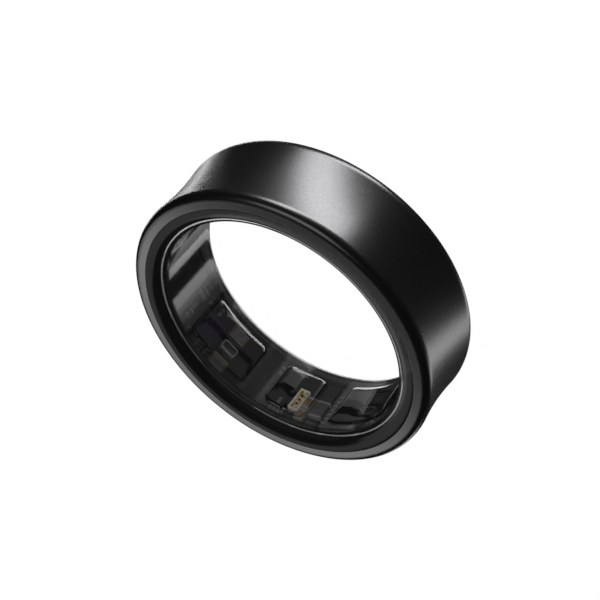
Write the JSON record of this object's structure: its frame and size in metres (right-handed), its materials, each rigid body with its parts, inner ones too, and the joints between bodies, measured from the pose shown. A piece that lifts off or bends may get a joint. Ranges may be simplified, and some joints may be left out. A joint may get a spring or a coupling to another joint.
{
  "type": "smart ring",
  "caption": "Smart ring: a waisted black metal band round a clear lining with raised optical sensor windows, a flexible circuit, a curved battery and a charging coil.",
  "frame": {"origin": "middle of the lower rim, on the surface that the ring lies on", "axes": "+Z along the finger bore, from the lower rim to the upper one; +Y from the bore's middle towards the centre sensor window; +X to the right"},
  "size_m": [0.024, 0.024, 0.007],
  "materials": {
    "shell_metal": "satin black coating on fine blasted titanium",
    "lining_resin": "polished clear resin with a smoky tint",
    "circuit_film": "flexible circuit with a dark cover film",
    "stiffener_steel": "rolled sheet",
    "chip_plastic": "moulded chip package",
    "crystal_can": "plated metal can",
    "package_ceramic": "white ceramic package",
    "die_crystal": "light-emitting die",
    "gold_plating": "gold plating",
    "capacitor_ceramic": "tan ceramic capacitor body",
    "solder_tin": "tinned terminal",
    "inductor_ferrite": "dark grey inductor body",
    "small_part_grey": "small surface-mounted part",
    "frame_plastic": "pale reflector frame",
    "photodiode_silicon": "dark silicon",
    "filter_glass": "dark purple filter over silicon",
    "barrier_plastic": "black light barrier",
    "antenna_foil": "etched antenna strip",
    "battery_foil": "laminated pouch foil",
    "tab_nickel": "nickel strip",
    "board_laminate": "green circuit board",
    "tape_film": "amber insulating tape",
    "adhesive_film": "white adhesive film",
    "lead_film": "copper-coloured flexible lead",
    "coil_copper": "bare copper track",
    "coil_film": "brown film",
    "ferrite": "ferrite sheet"
  },
  "bodies": {
    "root": {"outer_shell": "shell_metal", "inner_lining": "lining_resin", "main_flex": "circuit_film", "left_stiffener": "stiffener_steel", "centre_stiffener": "stiffener_steel", "right_stiffener": "stiffener_steel", "radio_processor": "chip_plastic", "memory_chip": "chip_plastic", "power_chip": "chip_plastic", "charging_chip": "chip_plastic", "accelerometer": "chip_plastic", "optical_front_end": "chip_plastic", "crystals": "crystal_can", "centre_led_package": "package_ceramic", "centre_led_dies": "die_crystal", "centre_led_pads": "gold_plating", "black_emitter": "barrier_plastic", "bulk_capacitors": "capacitor_ceramic", "bulk_capacitor_ends": "solder_tin", "inductor": "inductor_ferrite", "inductor_ends": "solder_tin", "small_capacitors": "small_part_grey", "small_resistors": "small_part_grey", "test_pads": "solder_tin", "temperature_sensors": "chip_plastic", "left_led_frame": "frame_plastic", "left_led_dies": "die_crystal", "left_upper_photodiode": "photodiode_silicon", "left_lower_photodiode": "photodiode_silicon", "left_broad_photodiode": "filter_glass", "left_light_barriers": "barrier_plastic", "right_led_frame": "frame_plastic", "right_led_dies": "die_crystal", "right_upper_photodiode": "photodiode_silicon", "right_lower_photodiode": "photodiode_silicon", "right_broad_photodiode": "filter_glass", "right_light_barriers": "barrier_plastic", "photodiode_contacts": "gold_plating", "antenna": "antenna_foil", "antenna_clip": "gold_plating", "battery_cell": "battery_foil", "positive_tab": "tab_nickel", "negative_tab": "tab_nickel", "protection_board": "board_laminate", "protection_chip": "chip_plastic", "insulating_tape": "tape_film", "battery_adhesive": "adhesive_film", "battery_lead": "lead_film", "connector_socket": "chip_plastic", "connector_plug": "chip_plastic", "charging_coil": "coil_copper", "coil_film": "coil_film", "ferrite_sheet": "ferrite", "coil_tail": "lead_film"}
  },
  "joints": []
}
